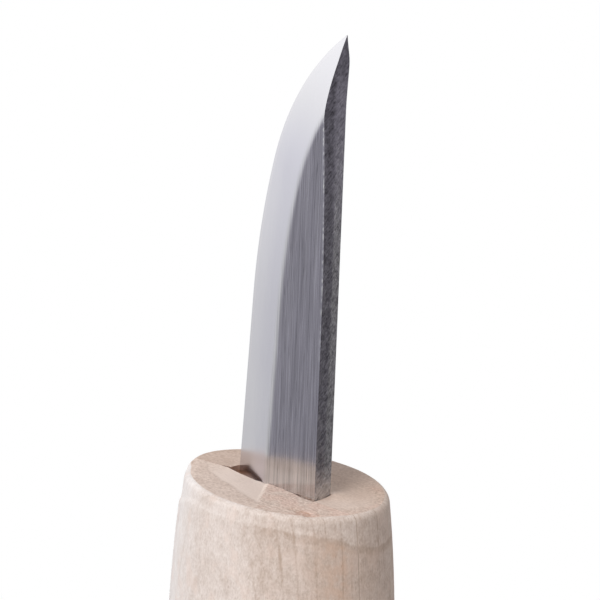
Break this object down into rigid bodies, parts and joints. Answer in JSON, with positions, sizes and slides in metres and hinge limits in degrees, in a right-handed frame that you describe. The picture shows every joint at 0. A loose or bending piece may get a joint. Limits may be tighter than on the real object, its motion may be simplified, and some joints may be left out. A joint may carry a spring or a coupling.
{
  "type": "wood carving knife",
  "caption": "Fixed-blade wood carving knife: short sweeping blade with long bevels and a straight spine, its hidden tang glued into an oval two-piece wooden handle.",
  "frame": {"origin": "centre of the flat butt face of the handle", "axes": "+Z along the knife from the butt to the tip, +X from the cutting edge to the spine, +Y from the front half of the handle to the back half"},
  "size_m": [0.032, 0.024, 0.1673],
  "materials": {
    "blade_steel": "flats brushed lengthwise, bevels satin, spine left rough and dark",
    "handle_wood": "pale close-grained hardwood, sanded and left unvarnished",
    "epoxy": "dark set epoxy",
    "wood_glue": "thin glue line, flush with the wood"
  },
  "bodies": {
    "root": {"blade": "blade_steel", "handle_front_half": "handle_wood", "handle_back_half": "handle_wood", "tang_epoxy": "epoxy", "seam_glue": "wood_glue"}
  },
  "joints": []
}
